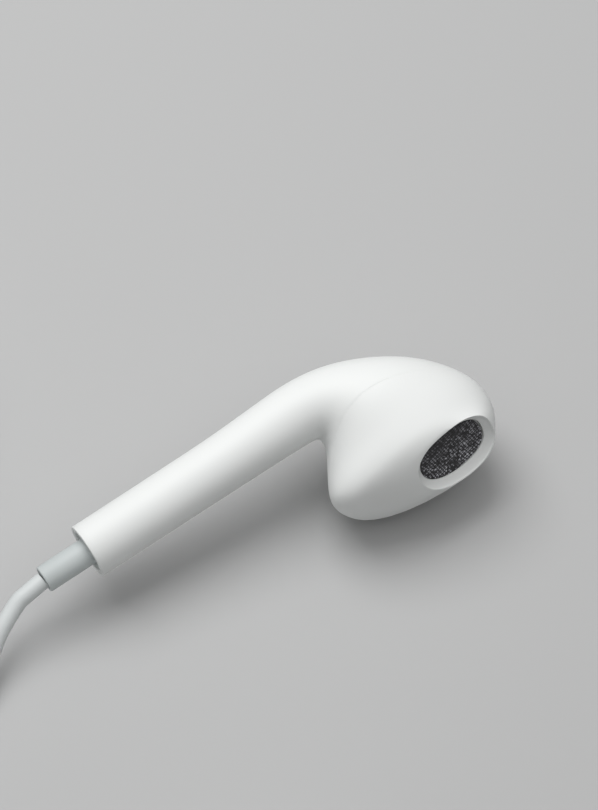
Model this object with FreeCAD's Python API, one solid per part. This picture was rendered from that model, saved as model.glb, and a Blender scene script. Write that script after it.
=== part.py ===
import FreeCAD, Part
import math
import os

from FreeCAD import Matrix, Vector

# Wired earphones with open-fit earpieces: a left and a right earpiece, a thin cord from each, an in-line
# remote on the right cord, a join, one main cord and a round four-contact plug.
# Millimetres, +Z up, everything lies on the table at Z = 0.
# Until the last step all places are measured from the centre of the left stem's open end, in plan.

# Stem: a round tube, open at the cord's end
STEM_RADIUS = 2.57
STEM_STRAIGHT = 15.0
STEM_WALL = 0.62

# Head: a blown, club-like shell that grows out of the stem and turns towards the ear
HEAD_WALL = 1.0
SEAM_TURN = 50.0
SEAM_DEPTH = 4.5
SEAM_GAP = 0.02

# Nozzle: an oval recess with a mesh at its floor
NOZZLE_CENTRE = (10.5, -4.1, 17.3)
NOZZLE_HALF_LONG = 4.4
NOZZLE_HALF_SHORT = 3.33
NOZZLE_LEAN = 6.0
NOZZLE_TURN = 47.0
NOZZLE_LAND = 0.22
NOZZLE_DEPTH = 1.1
NOZZLE_TAPER = 0.38
MESH_THICKNESS = 0.3
MESH_LEDGE = 0.5
MESH_CLEARANCE = 0.03
NOZZLE_FLOOR = 0.7
FLOOR_SHIFT = 0.35

# Rear vent: a slot through the back of the head, with a mesh in it
VENT_LENGTH = 4.6
VENT_WIDTH = 1.1
VENT_MESH_DEPTH = 0.45

# Driver: a small moving-coil loudspeaker behind a baffle
DRIVER_OFFSET = (5.1, 14.4)
BAFFLE_FRONT = 1.7
BAFFLE_THICKNESS = 0.8
DRIVER_RADIUS = 4.85
DRIVER_WALL = 0.3
DRIVER_FLANGE = 0.28
DRIVER_DEPTH = 3.5
FRAME_FLOOR = 0.4
SHELF_WIDTH = 0.3
SHELF_DROP = 1.2
YOKE_RADIUS = 3.2
YOKE_WALL = 0.35
YOKE_FLOOR = 0.5
YOKE_DEPTH = 2.2
YOKE_LIP = 0.4
MAGNET_RADIUS = 2.3
MAGNET_HEIGHT = 1.2
PLATE_HEIGHT = 0.5
COIL_GAP = 0.11
COIL_WALL = 0.28
COIL_HEIGHT = 1.3
FILM = 0.1
DIAPHRAGM_RADIUS = 3.7
DOME_HEIGHT = 0.45
GRILLE_THICKNESS = 0.3
GRILLE_HOLE = 0.32
GRILLE_RINGS = (1.3, 2.6, 3.7)
FIT = 0.03
BOARD_SIZE = (2.6, 1.1, 0.35)
LEAD_DIAMETER = 0.4

# Strain relief, and the cord's end inside the stem
RELIEF_RADIUS = 1.27
RELIEF_OUT = 4.6
RELIEF_IN = 8.0
COLLAR_LENGTH = 1.6
COLLAR_CLEARANCE = 0.04
CRIMP_RADIUS = 1.55
CRIMP_LENGTH = 3.0

# Cords
BRANCH_DIAMETER = 1.6
MAIN_DIAMETER = 2.0
TURN_GAP = 0.45
TIE_THICKNESS = 0.4
TIE_WIDTH = 3.0
TIE_GAP = 0.12
FLOOR_GAP = 0.02

# How each earpiece lies: the stem's heading in plan, its rise towards the head, and its roll
LEFT_REST = (33.9, 7.0, 26.6)
RIGHT_REST = (4.0, 7.0, 26.6)
RIGHT_AT = (-2.5, -43.6)

# Remote: a pill-shaped box with three buttons on its top
REMOTE_AT = (-48.2, -28.5)
REMOTE_LENGTH = 26.0
REMOTE_WIDTH = 5.6
REMOTE_HEIGHT = 4.0
REMOTE_WALL = 0.7
REMOTE_EDGE = 0.6
BUTTON_LENGTHS = (5.0, 5.4, 5.0)
BUTTON_WIDTH = 3.2
BUTTON_PITCH = 6.2
BUTTON_PROUD = 0.25
BUTTON_CLEARANCE = 0.08
BUTTON_FLANGE = 0.3
BUTTON_TRAVEL = 0.3
DOME_CLEARANCE = 0.06
DOME_RADIUS = 1.2
DOME_THICKNESS = 0.4
REMOTE_BOARD = 0.5
MICROPHONE_SIZE = (1.8, 1.3, 0.7)
REMOTE_RELIEF = 3.0

# Join where the two thin cords become one
JOIN_AT = (-47.2, -2.0)
JOIN_LENGTH = 10.0
JOIN_WIDTH = 5.2
JOIN_NECK = 3.6
JOIN_HEIGHT = 3.2
JOIN_SPREAD = 1.0
JOIN_EDGE = 0.6

# Plug: 3.5 mm, four contacts
PLUG_AT = (-24.0, 5.5)
PLUG_RELIEF = 4.5
PLUG_RELIEF_RADIUS = 1.4
PLUG_BODY = 10.5
PLUG_BODY_RADIUS = 2.5
PLUG_EDGE = 0.5
PIN_RADIUS = 1.75
PIN_LENGTH = 14.0
PIN_TIP = 2.8
PIN_NECK = 1.2
PIN_BAND = 0.7
PIN_RING = 2.1

# Coils, each wound inwards on the table and out again on top
LEFT_COIL_AT = (-23.0, -13.5)
RIGHT_COIL_AT = (-26.0, -38.5)
BRANCH_COIL_RADIUS = 11.05
MAIN_COIL_AT = (-30.5, 18.0)
MAIN_COIL_RADIUS = 16.95

shapes = {}
free_cord_nodes = []


def unit(v):
    v = Vector(v)
    v.normalize()
    return v


def turned(lean, turn):
    """The long, the cross and the outward direction of an oval section."""
    lean, turn = math.radians(lean), math.radians(turn)
    along = Vector(-math.sin(lean), 0, math.cos(lean))
    aside = Vector(-math.cos(lean), 0, -math.sin(lean))
    across = Vector(0, -1, 0) * math.cos(turn) + aside * math.sin(turn)
    return along, across, along.cross(across)


# Sections of the skin
RING_POINTS = 12
RING_GAIN = 6.0 / (4.0 + 2.0 * math.cos(2.0 * math.pi / RING_POINTS))


def section(front, back, near, far, near_x=None, far_x=None):
    """An oval from its front and back points in the stem's plane, and its reach to each side."""
    middle_x = (front[0] + back[0]) / 2
    near_x = middle_x if near_x is None else near_x
    far_x = middle_x if far_x is None else far_x
    return {
        "centre": Vector(middle_x, (far - near) / 2, (front[1] + back[1]) / 2),
        "half": (
            math.hypot(back[0] - front[0], back[1] - front[1]) / 2,
            math.hypot(near + far, near_x - far_x) / 2,
        ),
        "lean": math.degrees(math.atan2(front[0] - back[0], back[1] - front[1])),
        "turn": math.degrees(math.atan2(far_x - near_x, near + far)),
    }


def stem_section(height, radius):
    return {"centre": Vector(0, 0, height), "half": (radius, radius), "lean": 90.0, "turn": 0.0}


def head_sections():
    """From the stem's shoulder to the nozzle's rim, with heights above the straight stem."""
    rows = [
        section((2.65, 4.6), (-2.9, 5.2), 2.7, 2.7),
        section((2.7, 7.4), (-3.05, 8.4), 2.95, 2.95),
        section((2.8, 8.4), (-2.6, 12.0), 3.6, 3.6),
        section((3.8, 8.4), (-1.2, 15.7), 4.4, 4.7, 1.0, 1.4),
        section((5.05, 7.7), (0.9, 19.2), 5.1, 6.0, 2.35, 3.3),
        section((6.65, 6.6), (3.3, 21.6), 5.45, 6.9, 4.2, 5.5),
        section((8.35, 5.75), (5.7, 23.1), 5.6, 6.8, 5.6, 8.2),
        section((9.95, 5.9), (7.9, 23.5), 5.75, 5.5, 6.9, 10.9),
        section((11.2, 7.9), (9.8, 22.9), 5.85, 3.2, 8.1, 13.0),
    ]
    for row in rows:
        row["centre"] += Vector(0, 0, STEM_STRAIGHT)
    return rows


NOZZLE = {
    "centre": Vector(*NOZZLE_CENTRE) + Vector(0, 0, STEM_STRAIGHT),
    "half": (NOZZLE_HALF_LONG, NOZZLE_HALF_SHORT),
    "lean": NOZZLE_LEAN,
    "turn": NOZZLE_TURN,
}


def ring(row, inset=0.0, back=0.0):
    """Control points of an oval, drawn in by inset and moved back from the ear."""
    along, across, outward = turned(row["lean"], row["turn"])
    centre = row["centre"] - outward * back
    a = along * ((row["half"][0] - inset) * RING_GAIN)
    b = across * ((row["half"][1] - inset) * RING_GAIN)
    angles = [2 * math.pi * i / RING_POINTS for i in range(RING_POINTS)]
    return [centre + a * math.cos(t) + b * math.sin(t) for t in angles]


def skin(rings):
    """A solid inside one smooth cubic skin, with a flat cap at each end."""
    rows = len(rings)
    surface = Part.BSplineSurface()
    surface.buildFromPolesMultsKnots(
        [list(line) for line in zip(*rings)],
        [1] * (RING_POINTS + 1),
        [4] + [1] * (rows - 4) + [4],
        [float(k) for k in range(RING_POINTS + 1)],
        [float(k) for k in range(rows - 2)],
        True,
        False,
        3,
        3,
    )
    caps = [Part.Face(Part.Wire([surface.vIso(v).toShape()])) for v in (0.0, float(rows - 3))]
    shell = Part.Shell([surface.toShape()] + caps)
    shell.sewShape()
    solid = Part.Solid(shell)
    if solid.Volume < 0:
        solid.reverse()
    return solid


def oval(row, inset, back):
    """A closed oval wire with the same form as a section."""
    curve = Part.BSplineCurve()
    curve.buildFromPolesMultsKnots(
        ring(row, inset, back), [1] * (RING_POINTS + 1), list(range(RING_POINTS + 1)), True, 3
    )
    return Part.Wire([curve.toShape()])


def oval_block(row, inset_front, front, inset_back, back):
    return Part.makeLoft([oval(row, inset_front, front), oval(row, inset_back, back)], True, True)


# Stem and head
def outer_skin():
    stem = [stem_section(h * STEM_STRAIGHT / 3, STEM_RADIUS + 0.015 * h) for h in range(4)]
    return skin([ring(row) for row in stem + head_sections() + [NOZZLE]])


def inner_skin():
    stem = [stem_section(h * STEM_STRAIGHT / 3, STEM_RADIUS) for h in range(4)]
    stem[0]["centre"] = Vector(0, 0, -1)
    rings = [ring(row, STEM_WALL) for row in stem]
    rings += [ring(row, (STEM_WALL + HEAD_WALL) / 2) for row in head_sections()[:1]]
    rings += [ring(row, HEAD_WALL) for row in head_sections()[1:-1]]
    floor = NOZZLE_DEPTH + MESH_THICKNESS + NOZZLE_FLOOR
    _, across, _ = turned(NOZZLE_LEAN, NOZZLE_TURN)
    behind = dict(NOZZLE, centre=NOZZLE["centre"] - across * FLOOR_SHIFT)
    return skin(rings + [ring(behind, FLOOR_SHIFT - HEAD_WALL, floor)])


def driver_axes():
    turn = math.radians(SEAM_TURN)
    forward = Vector(math.cos(turn), -math.sin(turn), 0)
    aside = Vector(math.sin(turn), math.cos(turn), 0)
    return forward, aside


def driver_matrix():
    """From the driver's own frame, with Z towards the ear, to the earpiece's frame."""
    forward, aside = driver_axes()
    across = forward.cross(aside)
    place = forward * SEAM_DEPTH + aside * DRIVER_OFFSET[0]
    place += Vector(0, 0, STEM_STRAIGHT + DRIVER_OFFSET[1])
    return Matrix(
        aside.x, across.x, forward.x, place.x,
        aside.y, across.y, forward.y, place.y,
        aside.z, across.z, forward.z, place.z,
        0, 0, 0, 1,
    )


def in_driver(shape):
    return shape.transformed(driver_matrix(), True)


def disc(radius, low, high):
    return Part.makeCylinder(radius, high - low, Vector(0, 0, low))


def tube_ring(outer, inner, low, high):
    return disc(outer, low, high).cut(disc(inner, low - 1, high + 1))


def half_space(low, high, reach=40.0):
    return in_driver(Part.makeBox(2 * reach, 2 * reach, high - low, Vector(-reach, -reach, low)))


def slot_prism(length, width, low, high):
    """A bar with round ends, lying along the driver's cross direction."""
    half = (length - width) / 2
    block = Part.makeBox(width, 2 * half, high - low, Vector(-width / 2, -half, low))
    for end in (-half, half):
        block = block.fuse(Part.makeCylinder(width / 2, high - low, Vector(0, end, low)))
    return block.removeSplitter()


BAFFLE_BACK = BAFFLE_FRONT - BAFFLE_THICKNESS
VENT_REACH = 14.0


def shells():
    outer = outer_skin()
    inner = inner_skin()
    mesh_inset = NOZZLE_LAND + NOZZLE_TAPER
    seat = NOZZLE_DEPTH + MESH_THICKNESS
    recess = oval_block(NOZZLE, NOZZLE_LAND - 0.05, -0.2, mesh_inset, seat)
    tunnel = oval_block(
        NOZZLE, mesh_inset + MESH_LEDGE, seat - 0.1, mesh_inset + MESH_LEDGE, seat + 2 * NOZZLE_FLOOR
    )
    wall = outer.cut(inner).cut(recess).cut(tunnel)
    baffle = outer.common(half_space(BAFFLE_BACK, BAFFLE_FRONT))
    baffle = baffle.cut(in_driver(disc(DRIVER_RADIUS - DRIVER_WALL, 0, 2 * BAFFLE_FRONT)))
    front = wall.common(half_space(SEAM_GAP / 2, VENT_REACH)).fuse(baffle)
    vent = in_driver(slot_prism(VENT_LENGTH, VENT_WIDTH, -VENT_REACH, -DRIVER_DEPTH))
    rear = wall.common(half_space(-2 * VENT_REACH, -SEAM_GAP / 2)).cut(vent)
    vent_mesh = in_driver(
        slot_prism(VENT_LENGTH - 2 * FIT, VENT_WIDTH - 2 * FIT, -VENT_REACH, -DRIVER_DEPTH)
    )
    middle = skin([ring(row, VENT_MESH_DEPTH) for row in skin_rows()])
    vent_mesh = vent_mesh.common(middle).cut(inner)
    return front, rear, vent_mesh


def skin_rows():
    stem = [stem_section(h * STEM_STRAIGHT / 3, STEM_RADIUS) for h in range(4)]
    return stem + head_sections() + [NOZZLE]


def nozzle_mesh():
    inset = NOZZLE_LAND + NOZZLE_TAPER + MESH_CLEARANCE
    return oval_block(NOZZLE, inset, NOZZLE_DEPTH, inset, NOZZLE_DEPTH + MESH_THICKNESS)


# Driver, in its own frame: Z = 0 is the seam, +Z points at the ear
FLANGE_TOP = BAFFLE_BACK
FRAME_BOTTOM = FLANGE_TOP - DRIVER_DEPTH
SHELF_TOP = FLANGE_TOP - SHELF_DROP
YOKE_BOTTOM = FRAME_BOTTOM - DRIVER_FLANGE
MAGNET_BOTTOM = YOKE_BOTTOM + YOKE_FLOOR
PLATE_BOTTOM = MAGNET_BOTTOM + MAGNET_HEIGHT
PLATE_TOP = PLATE_BOTTOM + PLATE_HEIGHT
COIL_INNER = MAGNET_RADIUS + COIL_GAP


def driver_frame():
    flange = tube_ring(DRIVER_RADIUS + DRIVER_FLANGE, DRIVER_RADIUS - DRIVER_WALL,
                       FLANGE_TOP - DRIVER_FLANGE, FLANGE_TOP)
    upper = tube_ring(DRIVER_RADIUS, DRIVER_RADIUS - DRIVER_WALL, SHELF_TOP, FLANGE_TOP)
    lower = tube_ring(DRIVER_RADIUS, DRIVER_RADIUS - DRIVER_WALL - SHELF_WIDTH, FRAME_BOTTOM, SHELF_TOP)
    floor = tube_ring(DRIVER_RADIUS, YOKE_RADIUS + FIT, FRAME_BOTTOM, FRAME_BOTTOM + FRAME_FLOOR)
    frame = flange.fuse([upper, lower, floor]).removeSplitter()
    for spot in range(4):
        angle = math.radians(45 + 90 * spot)
        centre = (YOKE_RADIUS + DRIVER_RADIUS - DRIVER_WALL - SHELF_WIDTH) / 2
        hole = Part.makeCylinder(
            GRILLE_HOLE, 1,
            Vector(centre * math.cos(angle), centre * math.sin(angle), FRAME_BOTTOM - 0.3),
        )
        frame = frame.cut(hole)
    return frame


def driver_yoke():
    cup = disc(YOKE_RADIUS, YOKE_BOTTOM, YOKE_BOTTOM + YOKE_DEPTH)
    cup = cup.cut(disc(YOKE_RADIUS - YOKE_WALL, MAGNET_BOTTOM, YOKE_BOTTOM + YOKE_DEPTH + 1))
    lip = disc(YOKE_RADIUS + YOKE_LIP, YOKE_BOTTOM, FRAME_BOTTOM)
    return cup.fuse(lip).removeSplitter().cut(disc(YOKE_WALL, YOKE_BOTTOM - 1, MAGNET_BOTTOM + 1))


def driver_magnet():
    return disc(MAGNET_RADIUS - FIT, MAGNET_BOTTOM, PLATE_BOTTOM)


def driver_top_plate():
    return disc(MAGNET_RADIUS, PLATE_BOTTOM, PLATE_TOP)


def voice_coil():
    return tube_ring(COIL_INNER + COIL_WALL, COIL_INNER, SHELF_TOP - COIL_HEIGHT, SHELF_TOP)


def dome_profile(radius, height):
    """Quarter of a dome's section, from its edge to its crown."""
    rise = (radius * radius + height * height) / (2 * height)
    half = math.asin(radius / rise) / 2
    middle = Vector(rise * math.sin(half), 0, SHELF_TOP + height - rise + rise * math.cos(half))
    return Part.Arc(Vector(radius, 0, SHELF_TOP), middle, Vector(0, 0, SHELF_TOP + height))


def diaphragm():
    reach = COIL_INNER + COIL_WALL
    lower = dome_profile(reach, DOME_HEIGHT)
    outline = [
        lower.toShape(),
        Part.LineSegment(Vector(0, 0, SHELF_TOP + DOME_HEIGHT), Vector(0, 0, SHELF_TOP + DOME_HEIGHT + FILM)).toShape(),
    ]
    upper = dome_profile(reach, DOME_HEIGHT).toShape()
    upper.translate(Vector(0, 0, FILM))
    outline.append(upper)
    outline.append(Part.LineSegment(Vector(reach, 0, SHELF_TOP + FILM), Vector(reach, 0, SHELF_TOP)).toShape())
    face = Part.Face(Part.Wire(Part.__sortEdges__(outline)))
    dome = face.revolve(Vector(0, 0, 0), Vector(0, 0, 1), 360)
    rim = tube_ring(DIAPHRAGM_RADIUS, reach, SHELF_TOP, SHELF_TOP + FILM)
    return Part.makeSolid(dome).fuse(rim).removeSplitter() if dome.ShapeType != "Solid" else dome.fuse(rim)


def surround():
    """The soft roll between the diaphragm's edge and the frame's shelf."""
    outer = DRIVER_RADIUS - DRIVER_WALL - FIT
    inner = DIAPHRAGM_RADIUS + FIT
    middle = (outer + inner) / 2
    rise = (outer - inner) / 2

    def roll(height):
        return [Vector(inner, 0, height), Vector(middle, 0, height + rise), Vector(outer, 0, height)]

    low, high = roll(SHELF_TOP), roll(SHELF_TOP + FILM)
    edges = [
        Part.Arc(*low).toShape(),
        Part.LineSegment(low[2], high[2]).toShape(),
        Part.Arc(*high).toShape(),
        Part.LineSegment(low[0], high[0]).toShape(),
    ]
    face = Part.Face(Part.Wire(Part.__sortEdges__(edges)))
    return face.revolve(Vector(0, 0, 0), Vector(0, 0, 1), 360)


def driver_grille():
    plate = disc(DRIVER_RADIUS - DRIVER_WALL - FIT, FLANGE_TOP - GRILLE_THICKNESS, FLANGE_TOP)
    holes = [disc(GRILLE_HOLE, 0, 2)]
    for number, radius in enumerate(GRILLE_RINGS):
        count = 6 * (number + 1)
        for spot in range(count):
            angle = 2 * math.pi * spot / count
            hole = disc(GRILLE_HOLE, 0, 2)
            hole.translate(Vector(radius * math.cos(angle), radius * math.sin(angle), 0))
            holes.append(hole)
    return plate.cut(Part.makeCompound(holes))


BOARD_ANGLE = 215.0


def board_centre():
    angle = math.radians(BOARD_ANGLE)
    reach = (YOKE_RADIUS + YOKE_LIP + DRIVER_RADIUS) / 2
    return Vector(reach * math.cos(angle), reach * math.sin(angle), FRAME_BOTTOM - BOARD_SIZE[2] / 2)


def terminal_board():
    length, width, height = BOARD_SIZE
    board = Part.makeBox(width, length, height, Vector(-width / 2, -length / 2, -height / 2))
    board.rotate(Vector(0, 0, 0), Vector(0, 0, 1), BOARD_ANGLE)
    board.translate(board_centre())
    return board


# Tubes along routes
def bend_points(route):
    """Where each arc of a route starts, passes and ends, and its radius."""
    bends = []
    for before, corner, after in zip(route, route[1:], route[2:]):
        run_in, run_out = corner - before, after - corner
        turn = run_in.getAngle(run_out)
        cut = 0.45 * min(run_in.Length, run_out.Length)
        radius = cut / math.tan(turn / 2)
        start = corner - unit(run_in) * cut
        end = corner + unit(run_out) * cut
        inward = unit(unit(run_out) - unit(run_in))
        middle = corner + inward * (radius / math.cos(turn / 2) - radius)
        bends.append((start, middle, end, radius))
    return bends


def route_wire(route):
    edges = []
    here = route[0]
    for start, middle, end, _ in bend_points(route):
        edges.append(Part.LineSegment(here, start).toShape())
        edges.append(Part.Arc(start, middle, end).toShape())
        here = end
    edges.append(Part.LineSegment(here, route[-1]).toShape())
    return Part.Wire(edges)


def pipe(wire, direction, radius):
    start = wire.Edges[0].Vertexes[0].Point
    profile = Part.Wire([Part.makeCircle(radius, start, direction)])
    solid = wire.makePipeShell([profile], True, False)
    if solid.Volume < 0:
        solid.reverse()
    return solid


def report_tube(name, solid, wire, diameter, radii):
    section_volume = math.pi * diameter * diameter / 4 * wire.Length
    print(name, "length %.1f" % wire.Length, "volume share %.4f" % (solid.Volume / section_volume),
          "radii", ["%.1f" % r for r in radii])


def cord(name, points, diameter):
    route = [Vector(*p) for p in points]
    wire = route_wire(route)
    solid = pipe(wire, route[1] - route[0], diameter / 2)
    report_tube(name, solid, wire, diameter, [b[3] for b in bend_points(route)])
    shapes[name] = solid
    free_cord_nodes.append(name)


# Coils: a flat spiral inwards, a climb in half a turn, and a spiral out on top
def arc_edge(start, heading, end):
    chord = end - start
    along = unit(chord)
    bulge = unit(heading) - along * unit(heading).dot(along)
    if bulge.Length < 1e-6:
        return Part.LineSegment(start, end).toShape()
    half = unit(heading).getAngle(along)
    middle = (start + end) * 0.5 + unit(bulge) * (chord.Length / 2 * math.tan(half / 2))
    return Part.Arc(start, middle, end).toShape()


def biarc(start, heading, end, leaving):
    """Two arcs that leave start along heading and reach end along leaving."""
    chord = end - start
    heading, leaving = unit(heading), unit(leaving)
    both = heading + leaving
    a = 2 * (1 - heading.dot(leaving))
    b = 2 * chord.dot(both)
    c = -chord.dot(chord)
    reach = -c / b if a < 1e-9 else (-b + math.sqrt(b * b - 4 * a * c)) / (2 * a)
    joint = (start + heading * reach + end - leaving * reach) * 0.5
    back = arc_edge(end, leaving * -1, joint)
    return [arc_edge(start, heading, joint), back]


class Coil:
    """Turns of a cord, laid flat in two layers."""

    def __init__(self, centre, radius, diameter, turns_in, turns_out, start, sense):
        self.diameter = diameter
        self.pitch = diameter + TURN_GAP
        self.centre, self.radius = centre, radius
        self.turns_in, self.turns_out = turns_in, turns_out
        self.start, self.sense = math.radians(start), sense
        self.low = TIE_THICKNESS + TIE_GAP + FLOOR_GAP + diameter / 2
        self.inner = radius - self.pitch * turns_in

    def at(self, turn):
        """Radius and height after so many turns."""
        if turn <= self.turns_in:
            return self.radius - self.pitch * turn, self.low
        if turn >= self.turns_in + 0.5:
            return self.inner + self.pitch * (turn - self.turns_in - 0.5), self.low + self.pitch
        share = 2 * (turn - self.turns_in)
        radius = self.inner - self.pitch / 2 * (share - share * share)
        return radius, self.low + self.pitch * share * share * (3 - 2 * share)

    def point(self, turn):
        radius, height = self.at(turn)
        angle = self.start + self.sense * 2 * math.pi * turn
        return Vector(
            self.centre[0] + radius * math.cos(angle), self.centre[1] + radius * math.sin(angle), height
        )

    def heading(self, turn):
        step = 1e-5
        first = max(turn - step, 0)
        last = min(turn + step, self.turns())
        return unit(self.point(last) - self.point(first))

    def turns(self):
        return self.turns_in + 0.5 + self.turns_out

    def lead(self, turn):
        """The end of the straight stretch outside the first or last turn."""
        way = -1 if turn == 0 else 1
        flat = self.heading(turn)
        return self.point(turn) + flat * (way * self.diameter)

    def wire(self):
        edges = [Part.LineSegment(self.lead(0), self.point(0)).toShape()]
        count = int(round(self.turns() * 4))
        for quarter in range(count):
            a, b = quarter / 4.0, (quarter + 1) / 4.0
            edges += biarc(self.point(a), self.heading(a), self.point(b), self.heading(b))
        edges.append(Part.LineSegment(self.point(self.turns()), self.lead(self.turns())).toShape())
        return Part.Wire(Part.__sortEdges__(edges))

    def least_gap(self):
        """The least distance between the surfaces of stretches over half a turn apart."""
        steps = 48
        line = [self.point(i / steps) for i in range(int(self.turns() * steps) + 1)]
        least = min(
            (a - b).Length
            for i, a in enumerate(line)
            for b in line[i + steps // 2:]
        )
        return least - self.diameter


def wind(name, coil):
    wire = coil.wire()
    solid = pipe(wire, coil.heading(0), coil.diameter / 2)
    report_tube(name, solid, wire, coil.diameter, [coil.inner, coil.radius])
    print(name, "turns %.2f" % coil.turns(), "least gap to itself %.2f" % coil.least_gap())
    shapes[name] = solid
    free_cord_nodes.append(name)


def tie(coil, angle):
    """A flat band round all the turns at one place."""
    inner = coil.inner - coil.pitch / 2 - coil.diameter / 2 - TIE_GAP
    outer = coil.radius + coil.pitch / 4 + coil.diameter / 2 + TIE_GAP
    low = FLOOR_GAP + TIE_THICKNESS
    high = coil.low + coil.pitch + coil.diameter / 2 + TIE_GAP
    t = TIE_THICKNESS
    band = Part.makeBox(outer - inner + 2 * t, TIE_WIDTH, high - low + 2 * t,
                        Vector(inner - t, -TIE_WIDTH / 2, low - t))
    band = band.makeFillet(t, [e for e in band.Edges if abs(e.tangentAt(0).y) > 0.9])
    hole = Part.makeBox(outer - inner, 2 * TIE_WIDTH, high - low, Vector(inner, -TIE_WIDTH, low))
    band = band.cut(hole)
    band.rotate(Vector(0, 0, 0), Vector(0, 0, 1), angle)
    band.translate(Vector(coil.centre[0], coil.centre[1], 0))
    return band


# Strain relief and cord end, along the stem's axis
def strain_relief():
    sleeve = disc(RELIEF_RADIUS, -RELIEF_OUT, RELIEF_IN)
    collar = disc(STEM_RADIUS - STEM_WALL - COLLAR_CLEARANCE, RELIEF_IN - COLLAR_LENGTH, RELIEF_IN)
    bore = disc(BRANCH_DIAMETER / 2 + FIT, -RELIEF_OUT - 1, RELIEF_IN + 1)
    edges = [e for e in sleeve.Edges if abs(e.BoundBox.ZMax + RELIEF_OUT) < 0.01]
    sleeve = sleeve.makeFillet(0.12, edges)
    return sleeve.fuse(collar).removeSplitter().cut(bore)


CRIMP_TOP = RELIEF_IN + CRIMP_LENGTH


def cord_anchor():
    """The cord's end inside the stem, with a crimp that holds it against a pull."""
    cord_end = disc(BRANCH_DIAMETER / 2, -RELIEF_OUT, CRIMP_TOP)
    return cord_end.fuse(disc(CRIMP_RADIUS, RELIEF_IN, CRIMP_TOP)).removeSplitter()


def lead_wires():
    """Two insulated wires from the cord's end to the driver's board."""
    board = driver_matrix().multVec(board_centre())
    forward, _ = driver_axes()
    wires = []
    for side in (-1, 1):
        shift = Vector(0.4 * side, 0, 0)
        end = driver_matrix().multVec(
            board_centre() + Vector(0.6 * side * math.sin(math.radians(-BOARD_ANGLE)),
                                    0.6 * side * math.cos(math.radians(-BOARD_ANGLE)),
                                    -BOARD_SIZE[2] / 2)
        )
        approach = end - forward * 0.9
        route = [
            Vector(0, 0, CRIMP_TOP) + shift,
            Vector(0, 0, CRIMP_TOP + 3.0) + shift,
            Vector(-0.2, 0.3, STEM_STRAIGHT + 4.5) + shift,
            Vector(0.2, 0.7, board.z - 3.0) + shift,
            approach,
            end,
        ]
        wires.append(pipe(route_wire(route), Vector(0, 0, 1), LEAD_DIAMETER / 2))
    return Part.makeCompound(wires)


# An earpiece at rest on the table
def rest_matrix(rest, mirrored):
    yaw, pitch, roll = (math.radians(v) for v in rest)
    up_stem = Vector(math.cos(pitch) * math.cos(yaw), math.cos(pitch) * math.sin(yaw), math.sin(pitch))
    side = Vector(math.sin(yaw), -math.cos(yaw), 0)
    over = side.cross(up_stem)
    if mirrored:
        side = side * -1
    bulge = side * math.cos(roll) - over * math.sin(roll)
    third = up_stem.cross(bulge)
    return Matrix(
        bulge.x, third.x, up_stem.x, 0,
        bulge.y, third.y, up_stem.y, 0,
        bulge.z, third.z, up_stem.z, 0,
        0, 0, 0, 1,
    )


def lowest(shape):
    """The height of a solid's lowest point."""
    deep = Part.Face(Part.Wire(Part.makePolygon(
        [Vector(-200, -200, -100), Vector(200, -200, -100), Vector(200, 200, -100),
         Vector(-200, 200, -100), Vector(-200, -200, -100)])))
    return shape.distToShape(deep)[0] - 100


DRIVER_PIECES = {
    "driver_frame": driver_frame,
    "driver_yoke": driver_yoke,
    "driver_magnet": driver_magnet,
    "driver_top_plate": driver_top_plate,
    "voice_coil": voice_coil,
    "diaphragm": diaphragm,
    "surround": surround,
    "driver_grille": driver_grille,
    "terminal_board": terminal_board,
}


def earpiece():
    front, rear, vent_mesh = shells()
    pieces = {
        "front_shell": front,
        "rear_shell": rear,
        "rear_vent_mesh": vent_mesh,
        "nozzle_mesh": nozzle_mesh(),
        "strain_relief": strain_relief(),
        "cord_anchor": cord_anchor(),
        "lead_wires": lead_wires(),
    }
    for name, make in DRIVER_PIECES.items():
        pieces[name] = in_driver(make())
    return pieces


def place_earpiece(side, pieces, rest, at):
    """Adds an earpiece's nodes, and gives its placing."""
    mirrored = side == "right"
    matrix = rest_matrix(rest, mirrored)
    body = pieces["rear_shell"].fuse(pieces["front_shell"])
    if mirrored:
        body = body.mirror(Vector(0, 0, 0), Vector(0, 1, 0))
    height = -lowest(body.transformed(matrix, True))
    matrix.A14, matrix.A24, matrix.A34 = at[0], at[1], height
    for name, piece in pieces.items():
        if mirrored:
            piece = piece.mirror(Vector(0, 0, 0), Vector(0, 1, 0))
        shapes[side + "_" + name] = piece.transformed(matrix, True)
    return matrix


earpiece_pieces = earpiece()
left_matrix = place_earpiece("left", earpiece_pieces, LEFT_REST, (0, 0))
right_matrix = place_earpiece("right", earpiece_pieces, RIGHT_REST, RIGHT_AT)


def exit_of(matrix):
    """Where the cord leaves a strain relief, and which way it points."""
    end = matrix.multVec(Vector(0, 0, -RELIEF_OUT))
    start = matrix.multVec(Vector(0, 0, 0))
    return end, unit(end - start)


left_exit, left_way = exit_of(left_matrix)
right_exit, right_way = exit_of(right_matrix)

# Coils
left_coil = Coil(LEFT_COIL_AT, BRANCH_COIL_RADIUS, BRANCH_DIAMETER, 1.25, 1.5, 330, -1)
right_coil = Coil(RIGHT_COIL_AT, BRANCH_COIL_RADIUS, BRANCH_DIAMETER, 1.25, 1.25, 270, -1)
main_coil = Coil(MAIN_COIL_AT, MAIN_COIL_RADIUS, MAIN_DIAMETER, 4.5, 4.5, 180, -1)
wind("left_coil", left_coil)
wind("right_coil", right_coil)
wind("main_coil", main_coil)
ties = [tie(left_coil, 90), tie(right_coil, 60), tie(main_coil, 35)]
shapes["coil_ties"] = Part.makeCompound(ties)
free_cord_nodes.append("coil_ties")


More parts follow.
